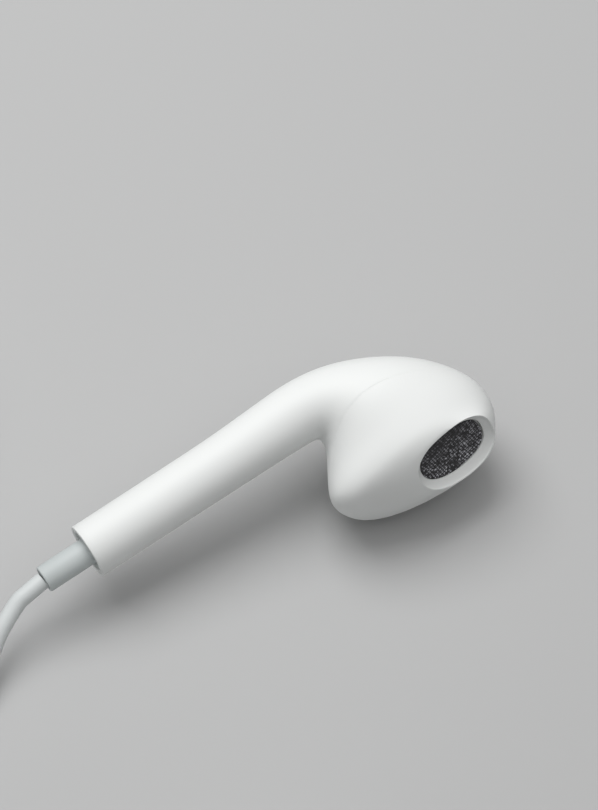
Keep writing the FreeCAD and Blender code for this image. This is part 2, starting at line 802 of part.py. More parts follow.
# Remote, in its own frame: along Y, bottom at Z = 0
def pill(length, width, low, high):
    half = (length - width) / 2
    block = Part.makeBox(width, 2 * half, high - low, Vector(-width / 2, -half, low))
    for end in (-half, half):
        block = block.fuse(Part.makeCylinder(width / 2, high - low, Vector(0, end, low)))
    return block.removeSplitter()


REMOTE_MIDDLE = REMOTE_HEIGHT / 2
BOARD_TOP = REMOTE_WALL + 0.3 + REMOTE_BOARD
BUTTON_SPOTS = (-BUTTON_PITCH, 0.0, BUTTON_PITCH)
CEILING = REMOTE_HEIGHT - REMOTE_WALL
BUTTON_BOTTOM = CEILING - FIT - BUTTON_FLANGE


def remote_shells():
    body = pill(REMOTE_LENGTH, REMOTE_WIDTH, 0, REMOTE_HEIGHT)
    rims = [e for e in body.Edges if e.BoundBox.ZLength < 0.01]
    body = body.makeFillet(REMOTE_EDGE, rims)
    room = pill(REMOTE_LENGTH - 2 * REMOTE_WALL, REMOTE_WIDTH - 2 * REMOTE_WALL, REMOTE_WALL, CEILING)
    body = body.cut(room)
    for end in (-1, 1):
        hole = Part.makeCylinder(BRANCH_DIAMETER / 2 + REMOTE_WALL / 2 + FIT, 2 * REMOTE_WALL,
                                 Vector(0, end * REMOTE_LENGTH / 2 - REMOTE_WALL, REMOTE_MIDDLE),
                                 Vector(0, 1, 0))
        body = body.cut(hole)
    big = 2 * REMOTE_LENGTH
    upper = body.common(Part.makeBox(big, big, big, Vector(-big / 2, -big / 2, REMOTE_MIDDLE + SEAM_GAP / 2)))
    lower = body.cut(Part.makeBox(big, big, big, Vector(-big / 2, -big / 2, REMOTE_MIDDLE - SEAM_GAP / 2)))
    for spot, length in zip(BUTTON_SPOTS, BUTTON_LENGTHS):
        hole = pill(length, BUTTON_WIDTH, CEILING - 1, REMOTE_HEIGHT + 1)
        hole.translate(Vector(0, spot, 0))
        upper = upper.cut(hole)
    upper = upper.cut(Part.makeCylinder(0.35, 3 * REMOTE_WALL, Vector(0, MICROPHONE_SPOT, CEILING - 0.5)))
    for rib in (-REMOTE_LENGTH / 4, REMOTE_LENGTH / 4):
        width = REMOTE_WIDTH - 2 * REMOTE_WALL
        lower = lower.fuse(Part.makeBox(width, 0.8, BOARD_TOP - REMOTE_BOARD - REMOTE_WALL,
                                        Vector(-width / 2, rib - 0.4, REMOTE_WALL)))
    return upper, lower


MICROPHONE_SPOT = -REMOTE_LENGTH / 2 + 3.4


def button(spot, length):
    head = pill(length - 2 * BUTTON_CLEARANCE, BUTTON_WIDTH - 2 * BUTTON_CLEARANCE,
                BUTTON_BOTTOM, REMOTE_HEIGHT + BUTTON_PROUD)
    top = [e for e in head.Edges if e.BoundBox.ZMin > REMOTE_HEIGHT]
    head = head.makeFillet(BUTTON_PROUD * 0.8, top)
    width = REMOTE_WIDTH - 2 * REMOTE_WALL - 2 * BUTTON_CLEARANCE
    flange = Part.makeBox(width, length + 2 * BUTTON_FLANGE, BUTTON_FLANGE,
                          Vector(-width / 2, -length / 2 - BUTTON_FLANGE, BUTTON_BOTTOM))
    piece = head.fuse(flange).removeSplitter()
    piece.translate(Vector(0, spot, 0))
    return piece


def remote_pieces():
    upper, lower = remote_shells()
    board = Part.makeBox(REMOTE_WIDTH - 2 * REMOTE_WALL - 0.4, REMOTE_LENGTH - 2 * REMOTE_WIDTH + 6,
                         REMOTE_BOARD,
                         Vector(-(REMOTE_WIDTH - 2 * REMOTE_WALL - 0.4) / 2,
                                -(REMOTE_LENGTH - 2 * REMOTE_WIDTH + 6) / 2,
                                BOARD_TOP - REMOTE_BOARD))
    domes = []
    for spot in BUTTON_SPOTS:
        top = BUTTON_BOTTOM - BUTTON_TRAVEL - DOME_CLEARANCE
        base = Part.makeCylinder(DOME_RADIUS, top - BOARD_TOP, Vector(0, spot, BOARD_TOP))
        domes.append(base)
    mic = Part.makeBox(MICROPHONE_SIZE[0], MICROPHONE_SIZE[1], MICROPHONE_SIZE[2],
                       Vector(-MICROPHONE_SIZE[0] / 2, MICROPHONE_SPOT - MICROPHONE_SIZE[1] / 2, BOARD_TOP))
    reliefs = []
    for end in (-1, 1):
        cone = Part.makeCone(BRANCH_DIAMETER / 2 + REMOTE_WALL / 2, BRANCH_DIAMETER / 2 + 0.2,
                             REMOTE_RELIEF + REMOTE_WALL,
                             Vector(0, end * (REMOTE_LENGTH / 2 - REMOTE_WALL), REMOTE_MIDDLE),
                             Vector(0, end, 0))
        reliefs.append(cone)
    pieces = {
        "remote_front_shell": upper,
        "remote_rear_shell": lower,
        "remote_board": board,
        "switch_domes": Part.makeCompound(domes),
        "microphone": mic,
        "remote_reliefs": Part.makeCompound(reliefs),
    }
    names = ("volume_down_button", "centre_button", "volume_up_button")
    for name, spot, length in zip(names, BUTTON_SPOTS, BUTTON_LENGTHS):
        pieces[name] = button(spot, length)
    return pieces


for name, piece in remote_pieces().items():
    piece.translate(Vector(REMOTE_AT[0], REMOTE_AT[1], FLOOR_GAP))
    shapes[name] = piece
    free_cord_nodes.append(name)


# Join
def cord_join():
    half = JOIN_LENGTH / 2
    corners = [
        Vector(-JOIN_WIDTH / 2, -half, 0), Vector(JOIN_WIDTH / 2, -half, 0),
        Vector(JOIN_NECK / 2, half, 0), Vector(-JOIN_NECK / 2, half, 0),
    ]
    face = Part.Face(Part.makePolygon(corners + corners[:1]))
    block = face.extrude(Vector(0, 0, JOIN_HEIGHT))
    block = block.makeFillet(JOIN_EDGE, block.Edges)
    block.translate(Vector(JOIN_AT[0], JOIN_AT[1], FLOOR_GAP))
    return block


shapes["cord_join"] = cord_join()
free_cord_nodes.append("cord_join")

# Plug, in its own frame: along X from the relief's rear end, then turned to point at -X
PLUG_HEIGHT = main_coil.low + main_coil.pitch + MAIN_DIAMETER / 2 + 0.05 + PLUG_BODY_RADIUS
BODY_START = PLUG_RELIEF
PIN_START = PLUG_RELIEF + PLUG_BODY


def along_x(radius, start, end, radius_end=None):
    if radius_end is None:
        return Part.makeCylinder(radius, end - start, Vector(start, 0, 0), Vector(1, 0, 0))
    return Part.makeCone(radius, radius_end, end - start, Vector(start, 0, 0), Vector(1, 0, 0))


def plug_pieces():
    relief = along_x(PLUG_RELIEF_RADIUS, 0, BODY_START, PLUG_RELIEF_RADIUS + 0.4)
    body = along_x(PLUG_BODY_RADIUS, BODY_START, PIN_START)
    body = body.makeFillet(PLUG_EDGE, [e for e in body.Edges if e.BoundBox.XLength < 0.01])
    tip_start = PIN_START + PIN_LENGTH - PIN_TIP
    bands = []
    rings = []
    here = tip_start
    for _ in range(3):
        bands.append(along_x(PIN_RADIUS, here - PIN_BAND, here))
        here -= PIN_BAND
        if len(rings) < 2:
            rings.append(along_x(PIN_RADIUS, here - PIN_RING, here))
            here -= PIN_RING
    ground = along_x(PIN_RADIUS, PIN_START, here)
    neck = along_x(PIN_RADIUS, tip_start, tip_start + PIN_TIP - 1.6, PIN_NECK)
    bulb = along_x(PIN_NECK, tip_start + PIN_TIP - 1.6, tip_start + PIN_TIP - 1.0, PIN_NECK + 0.3)
    nose = along_x(PIN_NECK + 0.3, tip_start + PIN_TIP - 1.0, tip_start + PIN_TIP, 0.5)
    tip = neck.fuse([bulb, nose]).removeSplitter()
    return {
        "plug_relief": relief,
        "plug_body": body,
        "plug_ground": ground,
        "plug_rings": Part.makeCompound(rings),
        "plug_insulators": Part.makeCompound(bands),
        "plug_tip": tip,
    }


for name, piece in plug_pieces().items():
    piece.rotate(Vector(0, 0, 0), Vector(0, 0, 1), 180)
    piece.translate(Vector(PLUG_AT[0], PLUG_AT[1], PLUG_HEIGHT))
    shapes[name] = piece
    free_cord_nodes.append(name)

# Free stretches of cord
BRANCH_LOW = BRANCH_DIAMETER / 2 + FLOOR_GAP
MAIN_LOW = MAIN_DIAMETER / 2 + FLOOR_GAP


def xyz(v):
    return (v.x, v.y, v.z)


def first_run(start, way, length):
    return xyz(start + way * length)


def before_coil(coil, length):
    return xyz(coil.lead(0) - coil.heading(0) * length)


def after_coil(coil, length):
    return xyz(coil.lead(coil.turns()) + coil.heading(coil.turns()) * length)


remote_low = REMOTE_AT[1] - REMOTE_LENGTH / 2 - REMOTE_RELIEF
remote_high = REMOTE_AT[1] + REMOTE_LENGTH / 2 + REMOTE_RELIEF
remote_z = REMOTE_MIDDLE + FLOOR_GAP
join_low = JOIN_AT[1] - JOIN_LENGTH / 2
join_high = JOIN_AT[1] + JOIN_LENGTH / 2
join_z = JOIN_HEIGHT / 2 + FLOOR_GAP

cord("left_cord_start", [
    xyz(left_exit),
    first_run(left_exit, left_way, 3.4),
    (-8.5, -9.0, 3.1),
    before_coil(left_coil, 5.0),
    xyz(left_coil.lead(0)),
], BRANCH_DIAMETER)

cord("left_cord_end", [
    xyz(left_coil.lead(left_coil.turns())),
    after_coil(left_coil, 4.0),
    (-38.2, -17.9, 1.1),
    (-43.0, -15.6, BRANCH_LOW),
    (JOIN_AT[0] + JOIN_SPREAD, join_low - 5.4, join_z),
    (JOIN_AT[0] + JOIN_SPREAD, join_low, join_z),
], BRANCH_DIAMETER)

cord("right_cord_start", [
    xyz(right_exit),
    first_run(right_exit, right_way, 3.5),
    (-15.0, -46.6, 2.6),
    before_coil(right_coil, 5.0),
    xyz(right_coil.lead(0)),
], BRANCH_DIAMETER)

cord("right_cord_middle", [
    xyz(right_coil.lead(right_coil.turns())),
    after_coil(right_coil, 3.6),
    (-37.0, -50.6, 1.0),
    (REMOTE_AT[0] + 4.4, remote_low - 7.0, BRANCH_LOW),
    (REMOTE_AT[0] + 1.6, remote_low - 5.4, 1.3),
    (REMOTE_AT[0], remote_low - 2.8, remote_z),
    (REMOTE_AT[0], remote_low, remote_z),
], BRANCH_DIAMETER)

cord("right_cord_end", [
    (REMOTE_AT[0], remote_high, remote_z),
    (REMOTE_AT[0], remote_high + 1.8, remote_z),
    (JOIN_AT[0] - JOIN_SPREAD, join_low - 1.8, join_z),
    (JOIN_AT[0] - JOIN_SPREAD, join_low, join_z),
], BRANCH_DIAMETER)

cord("main_cord_start", [
    (JOIN_AT[0], join_high, join_z),
    (JOIN_AT[0], join_high + 3.4, join_z),
    before_coil(main_coil, 4.2),
    xyz(main_coil.lead(0)),
], MAIN_DIAMETER)

cord("main_cord_end", [
    xyz(main_coil.lead(main_coil.turns())),
    after_coil(main_coil, 4.6),
    (PLUG_AT[0] + 8.3, PLUG_AT[1] + 2.15, PLUG_HEIGHT - 1.8),
    (PLUG_AT[0] + 4.6, PLUG_AT[1], PLUG_HEIGHT),
    (PLUG_AT[0], PLUG_AT[1], PLUG_HEIGHT),
], MAIN_DIAMETER)

# The row's origin is under the middle of the two earpieces
resting = Part.makeCompound([s for n, s in shapes.items() if n not in free_cord_nodes])
box = resting.optimalBoundingBox(False)
shift = Vector(-(box.XMin + box.XMax) / 2, -(box.YMin + box.YMax) / 2, 0)
print("origin shift", "%.4f %.4f" % (shift.x, shift.y), "lowest", "%.4f" % box.ZMin)

os.makedirs("parts", exist_ok=True)
for name, shape in sorted(shapes.items()):
    shape.translate(shift)
    shape.exportStep("parts/%s.step" % name)

whole = Part.makeCompound(list(shapes.values())).optimalBoundingBox(False)
print("nodes", len(shapes), "box", "%.2f %.2f %.2f" % (whole.XLength, whole.YLength, whole.ZLength),
      "lowest %.3f" % whole.ZMin)
forward, _ = driver_axes()
for side, matrix in (("left", left_matrix), ("right", right_matrix)):
    local = Vector(forward)
    if side == "right":
        local.y = -local.y
    turned_way = matrix.multVec(local) - matrix.multVec(Vector(0, 0, 0))
    print(side, "diaphragm axis", "%.5f %.5f %.5f" % xyz(turned_way),
          "stem end", "%.3f %.3f %.3f" % xyz(matrix.multVec(Vector(0, 0, 0)) + shift))
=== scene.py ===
# %% [markdown]
# Wired earphones, dressed in Blender
# ===================================
# The object is a pair of white open-fit earpieces on thin cords, with an in-line remote and a round plug.
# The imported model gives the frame: every solid is already in metres, at its own place. This lesson sets
# the camera, lays the cords, then gives each visible piece a finer form and a material.

# %% Load the frame
import math

import bmesh
import bpy
from mathutils import Matrix, Vector


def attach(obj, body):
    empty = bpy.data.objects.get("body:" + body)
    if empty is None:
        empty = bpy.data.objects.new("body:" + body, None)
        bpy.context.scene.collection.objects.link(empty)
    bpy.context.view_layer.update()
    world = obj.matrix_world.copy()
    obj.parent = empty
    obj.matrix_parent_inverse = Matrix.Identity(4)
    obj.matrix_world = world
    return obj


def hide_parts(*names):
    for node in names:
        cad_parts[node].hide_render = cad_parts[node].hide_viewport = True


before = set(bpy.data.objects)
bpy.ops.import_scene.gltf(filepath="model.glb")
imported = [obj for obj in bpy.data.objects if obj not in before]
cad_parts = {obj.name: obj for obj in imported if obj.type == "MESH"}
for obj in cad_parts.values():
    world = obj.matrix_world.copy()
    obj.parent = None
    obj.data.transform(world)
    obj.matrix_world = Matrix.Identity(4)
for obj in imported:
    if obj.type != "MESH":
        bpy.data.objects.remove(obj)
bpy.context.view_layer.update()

MM = 0.001

# %% [markdown]
# The camera
# ----------
# The photograph looks down steeply at one earpiece from about 30 cm, with a long lens. Distance and aim
# were found by matching the stem, the head's outline and the oval mouth.

# %% Camera
PHOTO_HEIGHT = 810
LOOK_DOWN = math.radians(58.0)
DISTANCE = 300.0 * MM
AIM = Vector((4.15, 25.49, 11.92)) * MM
FOCAL_PIXELS = 3360.0
SENSOR = 36.0
NEAREST_SEEN = 10.0 * MM

camera = bpy.data.objects.new("camera", bpy.data.cameras.new("camera"))
bpy.context.scene.collection.objects.link(camera)
towards_camera = Vector((0.0, -math.cos(LOOK_DOWN), math.sin(LOOK_DOWN)))
camera.location = AIM + towards_camera * DISTANCE
camera.rotation_mode = "QUATERNION"
camera.rotation_quaternion = (-towards_camera).to_track_quat("-Z", "Y")
camera.data.sensor_width = SENSOR
camera.data.lens = FOCAL_PIXELS * SENSOR / PHOTO_HEIGHT
camera.data.clip_start = NEAREST_SEEN
bpy.context.scene.camera = camera
print("lens in mm", round(camera.data.lens, 1))

# %% [markdown]
# Cords
# -----
# A cord is one smooth line with a round section. A NURBS curve of order 3 rounds the corners of its
# control points, so the same few points that guide the tube in the solid model give an even, limp line
# here. The loose length is wound on the table, inwards on the lower layer and outwards on the upper one,
# and tied.

# %% Where the left stem's open end is, in the frame
STEM_END = Vector((-14.6926, 13.6631, 6.253))
PLAN_SHIFT = Vector((STEM_END.x, STEM_END.y, 0.0))
BRANCH_DIAMETER = 1.6
MAIN_DIAMETER = 2.0
TURN_GAP = 0.45
COIL_LIFT = 0.54
STEPS_ALONG = 6
STEPS_ROUND = 6


# %% A coil's points
def coil_points(centre, radius, diameter, turns_in, turns_out, start_degrees, per_turn=16):
    """Control points of a clockwise coil in two layers, a little wide because the line cuts corners."""
    pitch = diameter + TURN_GAP
    inner = radius - pitch * turns_in
    low = COIL_LIFT + diameter / 2
    wide = 1.0 / math.cos(math.pi / per_turn)
    points = []
    for step in range(int(round((turns_in + 0.5 + turns_out) * per_turn)) + 1):
        turn = step / per_turn
        climb = min(max(2 * (turn - turns_in), 0.0), 1.0)
        if climb == 0.0:
            reach = radius - pitch * turn
        elif climb == 1.0:
            reach = inner + pitch * (turn - turns_in - 0.5)
        else:
            reach = inner - pitch / 2 * (climb - climb * climb)
        angle = math.radians(start_degrees) - 2 * math.pi * turn
        height = low + pitch * climb * climb * (3 - 2 * climb)
        points.append((
            centre[0] + reach * wide * math.cos(angle), centre[1] + reach * wide * math.sin(angle), height
        ))
    return points


# %% A cord from its points
def spline_length(curve_object):
    """The length of a curve's line, before it has a section."""
    bevel = curve_object.data.bevel_depth
    curve_object.data.bevel_depth = 0.0
    line = bpy.data.meshes.new_from_object(curve_object)
    curve_object.data.bevel_depth = bevel
    places = [vert.co for vert in line.vertices]
    length = sum((places[edge.vertices[0]] - places[edge.vertices[1]]).length for edge in line.edges)
    bpy.data.meshes.remove(line)
    return length


def make_cord(name, points, diameter):
    """A round cord along points given in millimetres, in the plan of the left stem's end.

    The section's radius is set on the points, because a curve's bounding box counts them as well.
    """
    data = bpy.data.curves.new(name, "CURVE")
    data.dimensions = "3D"
    spline = data.splines.new("NURBS")
    spline.points.add(len(points) - 1)
    for control, point in zip(spline.points, points):
        control.co = (*((Vector(point) + PLAN_SHIFT) * MM), 1.0)
        control.radius = diameter / 2 * MM
    spline.order_u = 3
    spline.use_endpoint_u = True
    data.resolution_u = STEPS_ALONG
    data.bevel_depth = 1.0
    data.bevel_resolution = STEPS_ROUND
    data.use_fill_caps = True
    cord = bpy.data.objects.new(name, data)
    bpy.context.scene.collection.objects.link(cord)
    print(name, "is", round(spline_length(cord) / MM, 1), "mm long")
    return cord


# %% The three cords
LEFT_EXIT = (-3.790, -2.546, 5.692)
RIGHT_EXIT = (-7.055, -43.918, 5.692)

left_points = (
    [
        LEFT_EXIT, (-5.3, -3.72, 5.15), (-5.97, -4.21, 4.9), (-6.5, -4.95, 4.52), (-7.79, -6.9, 3.6),
        (-8.7, -9.4, 2.3), (-10.130, -13.309, 1.34),
    ]
    + coil_points((-23.0, -13.5), 11.05, BRANCH_DIAMETER, 1.25, 1.5, 330.0)
    + [
        (-33.65, -20.7, 3.39), (-38.2, -17.9, 1.1), (-43.0, -15.6, 0.82),
        (-46.2, -12.4, 1.62), (-46.2, -7.0, 1.62),
    ]
)
right_points = (
    [RIGHT_EXIT, (-10.520, -44.160, 5.265), (-15.0, -46.6, 2.6), (-19.4, -49.55, 1.34)]
    + coil_points((-26.0, -38.5), 11.05, BRANCH_DIAMETER, 1.25, 1.25, 270.0)
    + [
        (-31.2, -49.55, 3.39), (-37.0, -50.6, 1.0), (-43.8, -51.5, 0.82), (-46.6, -49.9, 1.3),
        (-48.2, -47.3, 2.02), (-48.2, -44.5, 2.02), (-48.2, -41.2, 2.02), (-48.2, -39.4, 1.38),
        (-48.25, -28.5, 1.38), (-48.2, -17.6, 1.38), (-48.2, -15.8, 2.02), (-48.2, -12.5, 2.02),
        (-48.2, -10.7, 2.02), (-48.2, -8.8, 1.62), (-48.2, -7.0, 1.62),
    ]
)
main_points = (
    [(-47.2, 3.0, 1.62), (-47.2, 6.4, 1.62), (-47.45, 11.8, 1.54)]
    + coil_points((-30.5, 18.0), 16.95, MAIN_DIAMETER, 4.5, 4.5, 180.0)
    + [(-13.55, 11.4, 3.99), (-15.7, 7.65, 5.74), (-19.4, 5.5, 7.54), (-24.0, 5.5, 7.54)]
)
left_cord = make_cord("left_cord", left_points, BRANCH_DIAMETER)
right_cord = make_cord("right_cord", right_points, BRANCH_DIAMETER)
main_cord = make_cord("main_cord", main_points, MAIN_DIAMETER)


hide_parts("left_cord_start", "left_coil", "left_cord_end")
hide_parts("right_cord_start", "right_coil", "right_cord_middle", "right_cord_end")
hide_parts("main_cord_start", "main_coil", "main_cord_end")
for cord in (left_cord, right_cord, main_cord):
    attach(cord, "set")

# %% [markdown]
# Materials
# ---------
# Every finish is a small graph of nodes on one Principled shader. Sums and products of fields are written
# as Python expressions, so a wear mask or a weave reads like a formula. Only colour, roughness and the
# surface's fine relief change over a piece; the rest are plain numbers on the shader.

# %% A field
class Field:
    """A number that changes over the surface; arithmetic on it adds Math nodes."""

    def __init__(self, graph, socket):
        self.graph, self.socket = graph, socket

    def math(self, operation, first, second):
        return self.graph.node("ShaderNodeMath", {"operation": operation}, {0: first, 1: second})

    def __add__(self, other):
        return self.math("ADD", self, other)

    def __radd__(self, other):
        return self.math("ADD", other, self)

    def __sub__(self, other):
        return self.math("SUBTRACT", self, other)

    def __rsub__(self, other):
        return self.math("SUBTRACT", other, self)

    def __mul__(self, other):
        return self.math("MULTIPLY", self, other)

    def __rmul__(self, other):
        return self.math("MULTIPLY", other, self)


# %% A graph of nodes
class Graph:
    """The nodes of a material or of the world, and the shader at their end."""

    def __init__(self, tree, shader_type):
        self.tree = tree
        self.shader = next(n for n in tree.nodes if n.type == shader_type)

    def node(self, kind, settings=None, inputs=None, output=0):
        """Adds a node of a kind: first its settings, then the values or links of its sockets."""
        node = self.tree.nodes.new(kind)
        for key, value in (settings or {}).items():
            setattr(node, key, value)
        for key, value in (inputs or {}).items():
            if isinstance(value, Field):
                self.tree.links.new(value.socket, node.inputs[key])
            else:
                node.inputs[key].default_value = value
        return Field(self, node.outputs[output])

    def feed(self, socket, field):
        self.tree.links.new(field.socket, self.shader.inputs[socket])


# %% A finish
class Finish(Graph):
    """A material with one Principled shader, and its record slot."""

    def __init__(self, name, slot, **settings):
        self.slot = slot
        self.material = bpy.data.materials.new(name)
        self.material.use_nodes = True
        super().__init__(self.material.node_tree, "BSDF_PRINCIPLED")
        for socket, value in settings.items():
            self.shader.inputs[socket.replace("_", " ")].default_value = value

    def places(self):
        """Where a point is on the object, in millimetres."""
        here = self.node("ShaderNodeTexCoord", output="Object")
        return self.node("ShaderNodeVectorMath", {"operation": "SCALE"}, {0: here, "Scale": 1.0 / MM})

    def noise(self, where, scale, detail=3.0, rough=0.5):
        return self.node(
            "ShaderNodeTexNoise", {}, {"Vector": where, "Scale": scale, "Detail": detail, "Roughness": rough}
        )

    def blend(self, share, first, second):
        """A colour between two, by a field. A Mix node's sixth and seventh sockets are its colours."""
        return self.node(
            "ShaderNodeMix", {"data_type": "RGBA"}, {"Factor": share, 6: first, 7: second}, output=2
        )

    def relief(self, height, depth_mm):
        """Fine relief: height from 0 to 1, over a depth in millimetres."""
        self.feed("Normal", self.node("ShaderNodeBump", {}, {"Height": height, "Distance": depth_mm * MM}))


def wear(obj, finish):
    """Gives an object a finish."""
    obj.data.materials.clear()
    obj.data.materials.append(finish.material)


# %% [markdown]
# White plastic
# -------------
# Polished injection moulding: nearly even white, with a soft gloss, the faintest waviness from the mould
# and a few finger marks that only show in the roughness.

# %% Moulded finishes
MARKS_FINER = 3.0
GRAIN_FINER = 30.0


def moulded(name, slot, colour, darker, rough, spread, scale, grain_mm, **settings):
    """A plastic whose colour and gloss drift a little over the surface, with a fine mould grain."""
    finish = Finish(name, slot, **settings)
    where = finish.places()
    drift = finish.noise(where, scale)
    marks = finish.noise(where, scale * MARKS_FINER, 5.0, 0.6)
    finish.feed("Base Color", finish.blend(drift, (*darker, 1.0), (*colour, 1.0)))
    finish.feed("Roughness", marks * spread + (rough - spread / 2))
    finish.relief(finish.noise(where, scale * GRAIN_FINER, 2.0), grain_mm)
    return finish


white_gloss = moulded(
    "white_gloss", "shell", (0.875, 0.89, 0.88), (0.855, 0.87, 0.86), 0.50, 0.10, 0.12, 0.0006,
    IOR=1.45, Specular_IOR_Level=0.35,
)
white_satin = moulded(
    "white_satin", "button", (0.80, 0.81, 0.80), (0.77, 0.78, 0.77), 0.42, 0.12, 0.3, 0.002, IOR=1.49,
)
sleeve_satin = moulded(
    "sleeve_satin", "relief", (0.60, 0.64, 0.64), (0.56, 0.60, 0.60), 0.46, 0.12, 0.4, 0.003, IOR=1.5,
)
tie_satin = moulded(
    "tie_satin", "tie", (0.72, 0.74, 0.735), (0.67, 0.69, 0.685), 0.55, 0.15, 0.5, 0.006, IOR=1.5,
)
black_satin = moulded(
    "black_satin", "driver_frame", (0.03, 0.03, 0.032), (0.02, 0.02, 0.022), 0.45, 0.12, 0.3, 0.002, IOR=1.5,
)
board_green = moulded(
    "board_green", "board", (0.03, 0.17, 0.07), (0.02, 0.12, 0.05), 0.35, 0.10, 0.8, 0.003, IOR=1.5,
)
film_clear = moulded(
    "film_clear", "film", (0.36, 0.34, 0.30), (0.28, 0.26, 0.23), 0.28, 0.10, 0.8, 0.002, IOR=1.5,
)
wire_red = moulded(
    "wire_red", "wires", (0.50, 0.10, 0.06), (0.42, 0.07, 0.04), 0.35, 0.10, 1.5, 0.002, IOR=1.5,
)
insulator_white = moulded(
    "insulator_white", "insulator", (0.70, 0.70, 0.70), (0.66, 0.66, 0.66), 0.35, 0.10, 0.8, 0.001, IOR=1.5,
)

# %% [markdown]
# Metals
# ------
# Small turned and plated parts. A stretched noise stands for the lathe's or the roll's fine lines.

# %% Metal finishes
ALONG_THE_LINES = (6.0, 0.6, 6.0)
METAL_RELIEF = 0.002


def plated(name, slot, colour, darker, rough, spread, scale):
    """A bare or plated metal with fine drawn-out lines in its colour, gloss and relief."""
    finish = Finish(name, slot, Metallic=1.0)
    where = finish.places()
    stretched = finish.node("ShaderNodeMapping", {}, {"Vector": where, "Scale": ALONG_THE_LINES})
    lines = finish.noise(stretched, scale, 4.0, 0.6)
    finish.feed("Base Color", finish.blend(lines, (*darker, 1.0), (*colour, 1.0)))
    finish.feed("Roughness", lines * spread + (rough - spread / 2))
    finish.relief(lines, METAL_RELIEF)
    return finish


steel = plated("plated_steel", "steel", (0.66, 0.66, 0.67), (0.50, 0.50, 0.52), 0.34, 0.2, 1.2)
magnet_nickel = plated("magnet_nickel", "magnet", (0.72, 0.71, 0.69), (0.62, 0.61, 0.60), 0.22, 0.12, 0.6)
copper_wire = plated("copper_wire", "copper", (0.80, 0.42, 0.24), (0.55, 0.25, 0.13), 0.32, 0.15, 2.5)
contact_plate = plated("contact_plate", "contact", (0.80, 0.78, 0.74), (0.70, 0.68, 0.64), 0.16, 0.10, 0.7)

# %% [markdown]
# Cord jacket
# -----------
# A thin, soft jacket with a satin skin. It is even, with slow changes of gloss where it has been handled.

# %% Cord finish
cord_jacket = moulded(
    "cord_jacket", "cord", (0.71, 0.74, 0.74), (0.67, 0.70, 0.70), 0.40, 0.14, 0.35, 0.003, IOR=1.5,
)
for cord in (left_cord, right_cord, main_cord):
    wear(cord, cord_jacket)

# %% [markdown]
# The earpiece's skin
# -------------------
# The head and the stem are one blown-looking form. Twelve-sided rings are grown one from the next, and
# each is moved onto its own oval; a Subdivision Surface then rounds the cage into the same smooth skin as
# the solid's. The last two rings are worked out so that the rounded skin passes exactly through the
# mouth's rim.

# %% An oval section
RING_POINTS = 12
RING_GAIN = 6.0 / (4.0 + 2.0 * math.cos(2.0 * math.pi / RING_POINTS))
STEM_RADIUS = 2.57
STEM_STRAIGHT = 15.0
STEM_WIDENS = 0.015
STEM_RING_STEP = 5.0


def oval_frame(centre, half, lean, turn, inset=0.0, back=0.0, gain=1.0):
    """A matrix that puts a unit circle onto an oval, with its third axis out towards the ear."""
    lean, turn = math.radians(lean), math.radians(turn)
    along = Vector((-math.sin(lean), 0.0, math.cos(lean)))
    aside = Vector((-math.cos(lean), 0.0, -math.sin(lean)))
    across = Vector((0.0, -1.0, 0.0)) * math.cos(turn) + aside * math.sin(turn)
    outward = along.cross(across)
    a = along * (half[0] - inset) * gain
    b = across * (half[1] - inset) * gain
    place = Vector(centre) - outward * back
    return Matrix((
        (a.x, b.x, outward.x, place.x), (a.y, b.y, outward.y, place.y), (a.z, b.z, outward.z, place.z),
        (0.0, 0.0, 0.0, 1.0),
    ))


def head_frame(front, back, near, far, near_x=None, far_x=None):
    """A head section from its front and back points in the stem's plane, and its reach to each side."""
    middle = (front[0] + back[0]) / 2
    near_x = middle if near_x is None else near_x
    far_x = middle if far_x is None else far_x
    centre = (middle, (far - near) / 2, (front[1] + back[1]) / 2 + STEM_STRAIGHT)
    length = math.hypot(back[0] - front[0], back[1] - front[1])
    width = math.hypot(near + far, near_x - far_x)
    lean = math.degrees(math.atan2(front[0] - back[0], back[1] - front[1]))
    turn = math.degrees(math.atan2(far_x - near_x, near + far))
    return oval_frame(centre, (length / 2, width / 2), lean, turn, gain=RING_GAIN)


def stem_frame(height, radius):
    """A round section of the stem."""
    return oval_frame((0.0, 0.0, height), (radius, radius), 90.0, 0.0, gain=RING_GAIN)


NOZZLE = {"centre": (10.738, -3.889, 32.200), "half": (4.075, 3.02), "lean": 6.0, "turn": 47.0}

# %% The cage's rings
stem_frames = [stem_frame(STEM_RING_STEP * k, STEM_RADIUS + STEM_WIDENS * k) for k in (-1, 0, 1, 2, 3)]
head_frames = [
    head_frame((2.65, 4.6), (-2.9, 5.2), 2.7, 2.7),
    head_frame((2.7, 7.4), (-3.05, 8.4), 2.95, 2.95),
    head_frame((2.8, 8.4), (-2.6, 12.0), 3.6, 3.6),
    head_frame((3.8, 8.4), (-1.2, 15.7), 4.4, 4.7, 1.0, 1.4),
    head_frame((5.05, 7.8), (0.9, 19.2), 5.1, 6.0, 2.35, 3.3),
    head_frame((6.65, 6.85), (3.3, 21.6), 5.5, 6.9, 4.1, 5.5),
    head_frame((8.3, 6.1), (5.7, 23.1), 5.8, 6.8, 5.25, 8.2),
    head_frame((9.9, 6.2), (7.9, 23.5), 6.05, 5.5, 6.35, 10.9),
    head_frame((11.2, 8.0), (9.8, 22.9), 6.25, 3.2, 7.35, 13.0),
]
FRONT_CORNER = 0.28
RIM_SQUARENESS = 0.15
MESH_SQUARENESS = 0.08
FULLNESS = [0.0, 0.0, 0.01, 0.04, 0.08, 0.12, 0.16, 0.18, 0.17]


def squareness(along, across, amount):
    """How much further out an oval's corners lie, all but the one at its front's far side."""
    return 1 + (0.0 if along < 0 and across < 0 else amount * (2 * along * across) ** 2)


